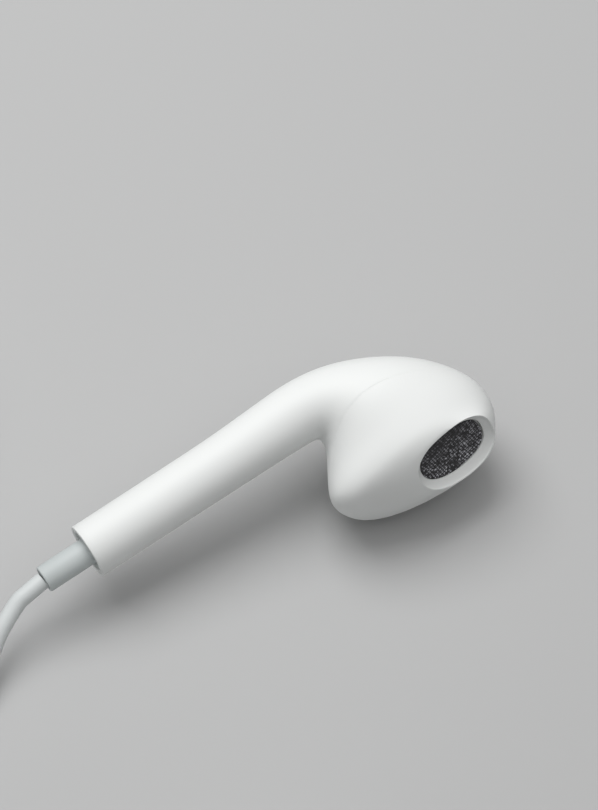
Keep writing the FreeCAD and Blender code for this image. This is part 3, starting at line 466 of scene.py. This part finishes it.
def ring_points(section, fullness=0.0, square=0.0):
    """The corners of a ring, pushed out between its front and its near side, where the head is fullest."""
    points = []
    for step in range(RING_POINTS):
        angle = 2 * math.pi * step / RING_POINTS
        along, across = math.cos(angle), math.sin(angle)
        push = 1 + fullness * max(-along, 0.0) ** 4 * max(across, 0.0) / FRONT_CORNER
        push *= squareness(along, across, square)
        points.append(section @ Vector((along * push, across * push, 0.0)))
    return points


rim = oval_frame(**NOZZLE, gain=RING_GAIN)
rings = [ring_points(section) for section in stem_frames]
rings += [ring_points(section, fullness) for section, fullness in zip(head_frames, FULLNESS)]
before_last, last = rings[-2:]
rings[-1] = [b * 1.5 - a * 0.5 for a, b in zip(before_last, last)]
rim_points = ring_points(rim, square=RIM_SQUARENESS)
rings.append([r * 6.0 - b * 6.0 + a for a, b, r in zip(before_last, last, rim_points)])
print("rings in the cage", len(rings))


# %% Growing, rounding and cutting
CUT_DIST = 1e-5
IN_PLANE = 1e-3


def grow(bm, edges, move):
    """Extrudes a loop of edges, moves the new loop, and returns its edges."""
    grown = bmesh.ops.extrude_edge_only(bm, edges=edges)["geom"]
    verts = {g for g in grown if isinstance(g, bmesh.types.BMVert)}
    bmesh.ops.transform(bm, matrix=move, verts=list(verts))
    return [g for g in grown if isinstance(g, bmesh.types.BMEdge) and set(g.verts) <= verts]


def rounded(bm, levels):
    """The cage after a Subdivision Surface."""
    data = bpy.data.meshes.new("cage")
    bm.to_mesh(data)
    cage = bpy.data.objects.new("cage", data)
    bpy.context.scene.collection.objects.link(cage)
    rounding = cage.modifiers.new("rounding", "SUBSURF")
    rounding.levels = rounding.render_levels = levels
    fine = bpy.data.meshes.new_from_object(cage.evaluated_get(bpy.context.evaluated_depsgraph_get()))
    bm.clear()
    bm.from_mesh(fine)
    bpy.data.objects.remove(cage)
    for spent in (data, fine):
        bpy.data.meshes.remove(spent)


def keep_below(bm, point, direction):
    """Cuts everything past a plane away."""
    everything = bm.verts[:] + bm.edges[:] + bm.faces[:]
    bmesh.ops.bisect_plane(
        bm, geom=everything, dist=CUT_DIST, plane_co=point, plane_no=direction, clear_outer=True
    )


def open_edges(bm, point, direction):
    """The open edges that lie in a plane."""
    point, direction = Vector(point), Vector(direction).normalized()
    return [
        e for e in bm.edges
        if e.is_boundary and all(abs((v.co - point).dot(direction)) < IN_PLANE for v in e.verts)
    ]


# %% The skin
ROUNDING = 3
ON_THE_STEM = 5.0
skin_cage = bmesh.new()
start = bmesh.ops.create_circle(skin_cage, segments=RING_POINTS, radius=1.0)["verts"]
loop = list({e for v in start for e in v.link_edges})
loops = [start]
for _ in rings[1:]:
    loop = grow(skin_cage, loop, Matrix.Translation((0.0, 0.0, 1.0)))
    loops.append({v for e in loop for v in e.verts})
for verts, points in zip(loops, rings):
    for vert in verts:
        corner = round(math.atan2(vert.co.y, vert.co.x) / (2 * math.pi) * RING_POINTS)
        vert.co = points[corner % RING_POINTS]
rounded(skin_cage, ROUNDING)
# The cage's last ring lies past the rim, so the rows of faces that came from it go.
for _ in range(2**ROUNDING):
    past_rim = {f for e in skin_cage.edges if e.is_boundary and e.verts[0].co.z > 0 for f in e.link_faces}
    bmesh.ops.delete(skin_cage, geom=list(past_rim), context="FACES")
bmesh.ops.recalc_face_normals(skin_cage, faces=skin_cage.faces[:])
# The normals agree with each other now; a face on the stem tells whether they point outwards.
stem_face = min(skin_cage.faces, key=lambda f: abs(f.calc_center_median().z - ON_THE_STEM))
if stem_face.normal.dot(stem_face.calc_center_median() * Vector((1, 1, 0))) < 0:
    bmesh.ops.reverse_faces(skin_cage, faces=skin_cage.faces[:])
print("faces on the skin", len(skin_cage.faces))

# %% [markdown]
# Two covers
# ----------
# The real shell is moulded in two pieces that meet in a plane across the head. Each cover here is the
# skin cut at that plane, with a tiny chamfer at the joint. The front cover turns in at the mouth, down to
# the mesh; the rear cover turns in at the stem's open end, where the wall shows.

# %% Cutting the skin and turning its edges in
SEAM_TURN = math.radians(50.0)
SEAM_DEPTH = 4.5
SEAM_CHAMFER = 0.007
SEAM_LAND = 0.5
FORWARD = Vector((math.cos(SEAM_TURN), -math.sin(SEAM_TURN), 0.0))
STEM_CUT = 0.08
LANDING = 0.67
RIM_PROFILE = (
    (0.02, 0.0), (0.04, 0.01), (0.06, 0.025), (0.075, 0.05), (0.085, 0.09), (0.11, 0.15),
    (0.34, 0.36), (0.55, 0.56), (0.56, 0.90), (0.95, 0.92), (1.0, 2.10),
)
END_PROFILE = ((-0.02, -0.05), (-0.08, -0.08), (-0.50, -0.08), (-0.58, -0.03), (-0.62, 0.06), (-0.62, 7.0))


def scaled_about(centre, factor, shift):
    """Scales about a point and then moves along a vector."""
    centre = Vector(centre)
    return Matrix.Translation(centre + Vector(shift)) @ Matrix.Scale(factor, 4) @ Matrix.Translation(-centre)


THROAT_CLOSES = (1.19, 1.3)
THROAT_DRIFTS = (-0.134, 0.30)


def throat_frame(inset, back):
    """The mouth's oval further in: a little faster than the inset, and drifting to the near side."""
    half = tuple(size - inset * closes for size, closes in zip(NOZZLE["half"], THROAT_CLOSES))
    along, across = (inset * drift / size for drift, size in zip(THROAT_DRIFTS, half))
    return oval_frame(**dict(NOZZLE, half=half), back=back) @ Matrix.Translation((along, across, 0.0))


def turn_in_seam(bm, way):
    """A chamfer and a flat land along the joint; way is +1 for the piece behind the seam."""
    at = FORWARD * (SEAM_DEPTH - way * SEAM_CHAMFER)
    step = FORWARD * (way * SEAM_CHAMFER * LANDING)
    edges = open_edges(bm, at, FORWARD)
    points = list({v for e in edges for v in e.verts})
    centre = sum((v.co for v in points), Vector()) / len(points)
    reach = sum((v.co - centre).length for v in points) / len(points)
    edges = grow(bm, edges, scaled_about(centre, 1 - SEAM_CHAMFER / reach, step))
    grow(bm, edges, scaled_about(centre + step, 1 - SEAM_LAND / reach, Vector()))


# %% The front cover
front_cover = skin_cage.copy()
nozzle_rim = oval_frame(**NOZZLE)
nozzle_outward = nozzle_rim.col[2].to_3d()
keep_below(front_cover, FORWARD * (SEAM_DEPTH + SEAM_CHAMFER), -FORWARD)
loop = open_edges(front_cover, NOZZLE["centre"], nozzle_outward)
before = nozzle_rim
for inset, back in RIM_PROFILE:
    after = throat_frame(inset, back)
    loop = grow(front_cover, loop, after @ before.inverted())
    before = after
turn_in_seam(front_cover, -1)
print("front faces", len(front_cover.faces))

# %% The rear cover
rear_cover = skin_cage.copy()
keep_below(rear_cover, (0.0, 0.0, STEM_CUT), (0.0, 0.0, -1.0))
keep_below(rear_cover, FORWARD * (SEAM_DEPTH - SEAM_CHAMFER), FORWARD)
loop = open_edges(rear_cover, (0.0, 0.0, STEM_CUT), (0.0, 0.0, 1.0))
radius, height = STEM_RADIUS, STEM_CUT
for inset, rise in END_PROFILE:
    factor = (STEM_RADIUS + inset) / radius
    lift = Matrix.Translation((0.0, 0.0, STEM_CUT + rise - height))
    loop = grow(rear_cover, loop, lift @ Matrix.Diagonal((factor, factor, 1.0, 1.0)))
    radius, height = STEM_RADIUS + inset, STEM_CUT + rise
turn_in_seam(rear_cover, 1)
print("rear faces", len(rear_cover.faces))

# %% [markdown]
# The rear vent
# -------------
# A driver needs air behind it, so the back of the head has a narrow slot with round ends. A boolean would
# leave long thin faces in the smooth skin. Here planes set round the slot cut only the faces near it, the
# faces inside are deleted, and the open edge is grown inwards as the slot's wall.

# %% Where the vent is
ASIDE = Vector((math.sin(SEAM_TURN), math.cos(SEAM_TURN), 0.0))
DRIVER_ASIDE, DRIVER_HEIGHT = 5.1, 14.4
VENT_PLACE = ASIDE * DRIVER_ASIDE + Vector((0.0, 0.0, STEM_STRAIGHT + DRIVER_HEIGHT))
VENT_HALF, VENT_RADIUS = 1.75, 0.55
VENT_SIDES = 24
VENT_NEIGHBOURS = 1.6
VENT_FACING = -0.2
VENT_INSIDE = VENT_RADIUS - 0.01
VENT_LIP, VENT_LIP_DEPTH, VENT_WALL = 0.985, 0.03, 0.9
print("vent in mm", 2 * (VENT_HALF + VENT_RADIUS), "x", 2 * VENT_RADIUS)


# %% Opening the vent
def vent_faces(bm, reach):
    """The faces at the back of the head that lie within a reach of the slot's middle line."""
    found = []
    for face in bm.faces:
        off = face.calc_center_median() - VENT_PLACE
        away = math.hypot(off.dot(ASIDE), max(abs(off.z) - VENT_HALF, 0.0))
        if face.normal.dot(FORWARD) < VENT_FACING and away < reach:
            found.append(face)
    return found


def open_vent(bm):
    """Cuts the slot through the back of the head and turns its edge in."""
    for step in range(VENT_SIDES):
        angle = 2 * math.pi * step / VENT_SIDES
        outward = ASIDE * math.cos(angle) + Vector((0.0, 0.0, math.sin(angle)))
        upper = step <= VENT_SIDES // 2
        end = VENT_PLACE + Vector((0.0, 0.0, VENT_HALF if upper else -VENT_HALF))
        near = vent_faces(bm, VENT_NEIGHBOURS)
        geom = list({g for f in near for g in [f, *f.edges, *f.verts]})
        bmesh.ops.bisect_plane(
            bm, geom=geom, dist=CUT_DIST, plane_co=end + outward * VENT_RADIUS, plane_no=outward
        )
    inside = vent_faces(bm, VENT_INSIDE)
    border = [e for f in inside for e in f.edges]
    rim = list({e for e in border if border.count(e) == 1})
    bmesh.ops.delete(bm, geom=inside, context="FACES")
    edges = grow(bm, rim, scaled_about(VENT_PLACE, VENT_LIP, FORWARD * VENT_LIP_DEPTH))
    grow(bm, edges, Matrix.Translation(FORWARD * VENT_WALL))


open_vent(rear_cover)
print("rear faces with the vent", len(rear_cover.faces))


# %% [markdown]
# Placing an earpiece
# -------------------
# An earpiece is made once, upright, in millimetres. A matrix lays it on the table as the photograph shows
# it; the other ear's piece is the mirror image, laid almost straight.

# %% Where the earpieces lie
def resting(yaw, pitch, roll, at, mirrored):
    """From the earpiece's own millimetres to the frame's metres."""
    yaw, pitch, roll = math.radians(yaw), math.radians(pitch), math.radians(roll)
    up_stem = Vector((math.cos(pitch) * math.cos(yaw), math.cos(pitch) * math.sin(yaw), math.sin(pitch)))
    side = Vector((math.sin(yaw), -math.cos(yaw), 0.0))
    over = side.cross(up_stem)
    if mirrored:
        side = -side
    bulge = side * math.cos(roll) - over * math.sin(roll)
    third = up_stem.cross(bulge)
    turned = Matrix((bulge, third, up_stem)).transposed().to_4x4()
    flip = Matrix.Diagonal((1.0, -1.0 if mirrored else 1.0, 1.0, 1.0))
    return Matrix.Scale(MM, 4) @ Matrix.Translation(at) @ turned @ flip


PLACES = {
    "left": resting(33.9, 7.0, 26.6, STEM_END, False),
    "right": resting(4.0, 7.0, 26.6, (-17.1926, -29.9369, 6.253), True),
}


SIDES = ("left", "right")
SMOOTH_BELOW = math.radians(32)
THIN_WALL = 0.1


def put(bm, name, side, finish, replaced, wall=0.0):
    """A copy of an earpiece's piece at its place on the table, riding the set, for a CAD node."""
    placed = bm.copy()
    bmesh.ops.transform(placed, matrix=PLACES[side], verts=placed.verts[:])
    if side == "right":
        bmesh.ops.reverse_faces(placed, faces=placed.faces[:])
    for face in placed.faces:
        face.smooth = True
    for edge in placed.edges:
        edge.smooth = edge.calc_face_angle(0.0) < SMOOTH_BELOW
    data = bpy.data.meshes.new(f"{side}_{name}")
    placed.to_mesh(data)
    placed.free()
    piece = bpy.data.objects.new(f"{side}_{name}", data)
    bpy.context.scene.collection.objects.link(piece)
    if wall:
        shell = piece.modifiers.new("wall", "SOLIDIFY")
        shell.thickness, shell.offset = wall * MM, -1.0
    wear(piece, finish)
    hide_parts(f"{side}_{replaced}")
    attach(piece, "set")


for side in SIDES:
    put(front_cover, "front_cover", side, white_gloss, "front_shell", wall=THIN_WALL)
    put(rear_cover, "rear_cover", side, white_gloss, "rear_shell", wall=THIN_WALL)
print("covers placed for", *SIDES)

# %% [markdown]
# Strain relief
# -------------
# A soft sleeve round the cord where it leaves the stem, with a collar inside that holds it. Both are
# turned profiles: a line of points, spun round the stem's axis.

# %% Turned profiles
SPUN_DOUBLES = 1e-4


def lathe(profile, steps=64):
    """A closed ring of points (radius, height) spun round the upright axis."""
    bm = bmesh.new()
    verts = [bm.verts.new((radius, 0.0, height)) for radius, height in profile]
    edges = [bm.edges.new(pair) for pair in zip(verts, verts[1:] + verts[:1])]
    bmesh.ops.spin(
        bm, geom=verts + edges, cent=(0, 0, 0), axis=(0, 0, 1), angle=2 * math.pi, steps=steps, use_merge=True
    )
    bmesh.ops.remove_doubles(bm, verts=bm.verts[:], dist=SPUN_DOUBLES)
    bmesh.ops.recalc_face_normals(bm, faces=bm.faces[:])
    return bm


RELIEF_RADIUS, RELIEF_OUT, RELIEF_IN = 1.27, 4.6, 8.0
CORD_BORE = BRANCH_DIAMETER / 2 + 0.03
COLLAR_RADIUS, COLLAR_LENGTH = 1.91, 1.6
relief = lathe([
    (CORD_BORE, -RELIEF_OUT + 0.12), (CORD_BORE + 0.04, -RELIEF_OUT + 0.03), (CORD_BORE + 0.12, -RELIEF_OUT),
    (RELIEF_RADIUS - 0.16, -RELIEF_OUT), (RELIEF_RADIUS - 0.05, -RELIEF_OUT + 0.04),
    (RELIEF_RADIUS, -RELIEF_OUT + 0.16), (RELIEF_RADIUS, RELIEF_IN - COLLAR_LENGTH),
    (COLLAR_RADIUS, RELIEF_IN - COLLAR_LENGTH), (COLLAR_RADIUS, RELIEF_IN), (CORD_BORE, RELIEF_IN),
])
for side in SIDES:
    put(relief, "sleeve", side, sleeve_satin, "strain_relief")
print("faces on a sleeve", len(relief.faces))

# %% [markdown]
# Nozzle mesh
# -----------
# A disc of fine black woven wire, pressed a little hollow, at the floor of the mouth. Its own flat map,
# close to millimetres, carries the weave, so the wires keep their size. Every crossing of two wires gets
# a painted glint of its own, a highlight painted into the colour, so the weave doesn't look printed. On the
# mouth's mesh the glints are painted fainter towards the mouth's near side, as painted shade under the near
# rim. The vent's mesh is the same cloth on the object's own places, with painted glints but no painted shade.

# %% Mesh finish
WIRE_PITCH = 0.15
WIRE_TURN = math.radians(33)
WIRE_STRAY = 0.26
STRAY_SCALE, PATCH_SCALE = 4.0, 0.9
WIRE_RELIEF = 0.05
SPARK_SHARE = 1.1
GLINT_FROM, GLINT_FULL = 0.42, 1.1
# Painted shade across the mouth's mesh: along the flat map's second axis the glints are painted fainter, from
# the first place to the second, which lies on the mouth's near side under the near rim.
GLINT_UNSHADED_AT, GLINT_UNSHADED = -1.2, 1.15
PAINTED_SHADE_AT, GLINT_IN_PAINTED_SHADE = 2.4, 0.2
# The dark colour is the wire's own; the bright one is a painted glint, a highlight painted into the colour.
WIRE_DARK, WIRE_PAINTED_GLINT = (0.018, 0.017, 0.019, 1.0), (0.66, 0.66, 0.71, 1.0)


def woven(name, slot, on_map):
    """Fine black woven wire with a painted glint at each crossing; on the flat map, painted shade dims them
    towards the mouth's near side.
    """
    finish = Finish(name, slot, IOR=1.45)
    flat = finish.node("ShaderNodeUVMap", {"uv_map": "flat"}) if on_map else finish.places()
    loose = finish.node(
        "ShaderNodeTexNoise", {}, {"Vector": flat, "Scale": STRAY_SCALE, "Detail": 2.0}, output=1
    )
    strayed = finish.node(
        "ShaderNodeMix", {"data_type": "VECTOR"}, {"Factor": WIRE_STRAY, 4: flat, 5: loose}, output=1
    )
    turned = finish.node(
        "ShaderNodeMapping", {},
        {"Vector": strayed, "Rotation": (0.0, 0.0, WIRE_TURN), "Scale": (1 / WIRE_PITCH,) * 3},
    )
    waves = []
    for axis in range(2):
        place = finish.node("ShaderNodeSeparateXYZ", {}, {0: turned}, output=axis)
        waves.append(finish.node("ShaderNodeMath", {"operation": "SINE"}, {0: place * math.pi}))
    high = waves[0] * waves[1] * 0.5 + 0.5
    crossing = finish.node("ShaderNodeVectorMath", {"operation": "FLOOR"}, {0: turned})
    spark = finish.node("ShaderNodeTexWhiteNoise", {}, {"Vector": crossing})
    patch = finish.noise(flat, PATCH_SCALE, 1.0)
    # The shine at the crossings is a painted glint: bright specks painted into the base colour in place of
    # the light the wire catches.
    shine = high * (spark * SPARK_SHARE + patch - 0.2)
    painted_glint = finish.node(
        "ShaderNodeMapRange", {}, {"Value": shine, "From Min": GLINT_FROM, "From Max": GLINT_FULL}
    )
    # Painted shade: on the mouth's mesh the glints are painted dimmer towards the mouth's near side, where
    # the near rim shades the hollow mesh.
    if on_map:
        aside = finish.node("ShaderNodeSeparateXYZ", {}, {0: flat}, output=1)
        across = {"Value": aside, "From Min": GLINT_UNSHADED_AT, "From Max": PAINTED_SHADE_AT}
        share = {"To Min": GLINT_UNSHADED, "To Max": GLINT_IN_PAINTED_SHADE}
        painted_glint = painted_glint * finish.node("ShaderNodeMapRange", {}, {**across, **share})
    finish.feed("Base Color", finish.blend(painted_glint, WIRE_DARK, WIRE_PAINTED_GLINT))
    finish.feed("Roughness", 0.60 - painted_glint * 0.25)
    finish.relief(high + spark * 0.3, WIRE_RELIEF)
    return finish


mesh_black = woven("mesh_black", "mesh", True)
vent_black = woven("vent_black", "mesh", False)


# %% The mesh disc
MESH_SIDES = 64
MESH_INSET, MESH_BACK = 0.58, 0.62
MESH_MAP = (3.59, 2.75)
MESH_HOLLOW = 0.50
MESH_RINGS = (0.18, 0.22, 0.22, 0.2)
MESH_EDGE = 0.25
MESH_WIRE = 0.05


def mesh_disc():
    """A disc with the mouth's outline and its own flat map, pressed hollow, with its edge turned back."""
    bm = bmesh.new()
    bmesh.ops.create_circle(bm, cap_ends=True, segments=MESH_SIDES, radius=1.0)
    for step in MESH_RINGS:
        middle = [f for f in bm.faces if len(f.verts) == MESH_SIDES]
        bmesh.ops.inset_region(bm, faces=middle, thickness=step, depth=0.0)
    layer = bm.loops.layers.uv.new("flat")
    for face in bm.faces:
        for corner in face.loops:
            corner[layer].uv = (corner.vert.co.x * MESH_MAP[0], corner.vert.co.y * MESH_MAP[1])
    for vert in bm.verts:
        place = vert.co.to_2d()
        wide = place * squareness(*place.normalized(), MESH_SQUARENESS)
        vert.co = (*wide, -MESH_HOLLOW * (1 - place.length_squared))
    bmesh.ops.transform(bm, matrix=throat_frame(MESH_INSET, MESH_BACK), verts=bm.verts[:])
    outer = [e for e in bm.edges if e.is_boundary]
    grow(bm, outer, Matrix.Translation(-nozzle_outward * MESH_EDGE))
    bmesh.ops.recalc_face_normals(bm, faces=bm.faces[:])
    if sum(f.normal.dot(nozzle_outward) * f.calc_area() for f in bm.faces) < 0:
        bmesh.ops.reverse_faces(bm, faces=bm.faces[:])
    return bm


disc = mesh_disc()
for side in SIDES:
    put(disc, "mouth_mesh", side, mesh_black, "nozzle_mesh", wall=MESH_WIRE)
print("faces on a mesh", len(disc.faces))

# %% [markdown]
# The pieces that stay as the solid model has them
# ------------------------------------------------
# The driver, the boards, the remote, the join and the plug have the right shape already, so they keep
# their solids and get finishes.

# %% Finishes for the solids
ON_THE_CORDS = {
    white_gloss: ["cord_join", "plug_body", "remote_front_shell", "remote_rear_shell"],
    white_satin: ["volume_up_button", "centre_button", "volume_down_button"],
    sleeve_satin: ["remote_reliefs", "plug_relief"],
    tie_satin: ["coil_ties"],
    board_green: ["remote_board"],
    steel: ["switch_domes", "microphone"],
    contact_plate: ["plug_ground", "plug_rings", "plug_tip"],
    insulator_white: ["plug_insulators"],
}
IN_EACH_EAR = {
    black_satin: ["driver_frame"],
    steel: ["driver_yoke", "driver_top_plate", "driver_grille"],
    magnet_nickel: ["driver_magnet"],
    copper_wire: ["voice_coil"],
    film_clear: ["diaphragm", "surround"],
    board_green: ["terminal_board"],
    wire_red: ["lead_wires"],
    cord_jacket: ["cord_anchor"],
    vent_black: ["rear_vent_mesh"],
}
in_both_ears = {
    finish: [f"{side}_{name}" for side in SIDES for name in names] for finish, names in IN_EACH_EAR.items()
}
carried = [pair for group in (ON_THE_CORDS, in_both_ears) for pair in group.items()]
for finish, names in carried:
    for name in names:
        wear(bpy.data.objects[name], finish)
print("carried over", sum(len(names) for _, names in carried), "of", len(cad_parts))

# %% [markdown]
# Table and light
# ---------------
# A plain pale table, one broad soft lamp from the upper left that throws the long soft shadow, and an
# even sky that fills the rest.

# %% Table
TABLE_HALF = 0.6
TABLE_GREY = (0.505, 0.507, 0.507, 1.0)
table_paint = Finish("table_paint", "shell", Base_Color=TABLE_GREY, Roughness=0.9, Specular_IOR_Level=0.1)
table_top = bmesh.new()
bmesh.ops.create_grid(table_top, x_segments=1, y_segments=1, size=TABLE_HALF)
table = bpy.data.objects.new("table", bpy.data.meshes.new("table"))
table_top.to_mesh(table.data)
table_top.free()
bpy.context.scene.collection.objects.link(table)
table.data.materials.append(table_paint.material)
print("table is", 2 * TABLE_HALF, "m wide")

# %% Lamp
LAMP_FROM = Vector((-0.24, 0.40, 1.0))
LAMP_DISTANCE = 0.32
LAMP_SIZE = 0.24
LAMP_SHARE = 0.60
lamp = bpy.data.objects.new("lamp", bpy.data.lights.new("lamp", "AREA"))
bpy.context.scene.collection.objects.link(lamp)
lamp.location = LAMP_FROM.normalized() * LAMP_DISTANCE
lamp.rotation_mode = "QUATERNION"
lamp.rotation_quaternion = (-LAMP_FROM).to_track_quat("-Z", "Y")
lamp.data.shape = "DISK"
lamp.data.size = LAMP_SIZE
lamp.data.energy = LAMP_SHARE * (math.pi * LAMP_DISTANCE) ** 2
print("lamp in watts", round(lamp.data.energy, 3))

# %% [markdown]
# The sky
# -------
# The sky is dark below a third of its height and grows brighter towards the top, like the ceiling of a
# studio. The camera, and what it sees in metal, meets an even pale backdrop behind the table instead.

# %% Sky
SKY_FROM, SKY_HORIZON, SKY_TOP = 0.32, 0.0, 0.93
BACKDROP = 0.55
world = bpy.data.worlds.new("sky")
bpy.context.scene.world = world
world.use_nodes = True
sky = Graph(world.node_tree, "BACKGROUND")
sky.shader.inputs["Color"].default_value = (1.0, 1.0, 1.0, 1.0)
way = sky.node("ShaderNodeTexCoord", output="Generated")
rise = sky.node("ShaderNodeSeparateXYZ", {}, {0: way}, output="Z")
climb = sky.node(
    "ShaderNodeMapRange", {"interpolation_type": "SMOOTHSTEP"},
    {"Value": rise, "From Min": SKY_FROM, "From Max": 1.0, "To Min": SKY_HORIZON, "To Max": SKY_TOP},
)
camera_ray, glossy_ray, through_ray = (
    sky.node("ShaderNodeLightPath", output=f"Is {kind} Ray") for kind in ("Camera", "Glossy", "Transmission")
)
seen = camera_ray.math("MAXIMUM", camera_ray.math("MAXIMUM", camera_ray, glossy_ray), through_ray)
sky.feed("Strength", sky.node("ShaderNodeMix", {}, {"Factor": seen, "A": climb, "B": BACKDROP}))
bpy.context.scene.view_settings.view_transform = "Standard"
print("nodes in the sky", len(world.node_tree.nodes))
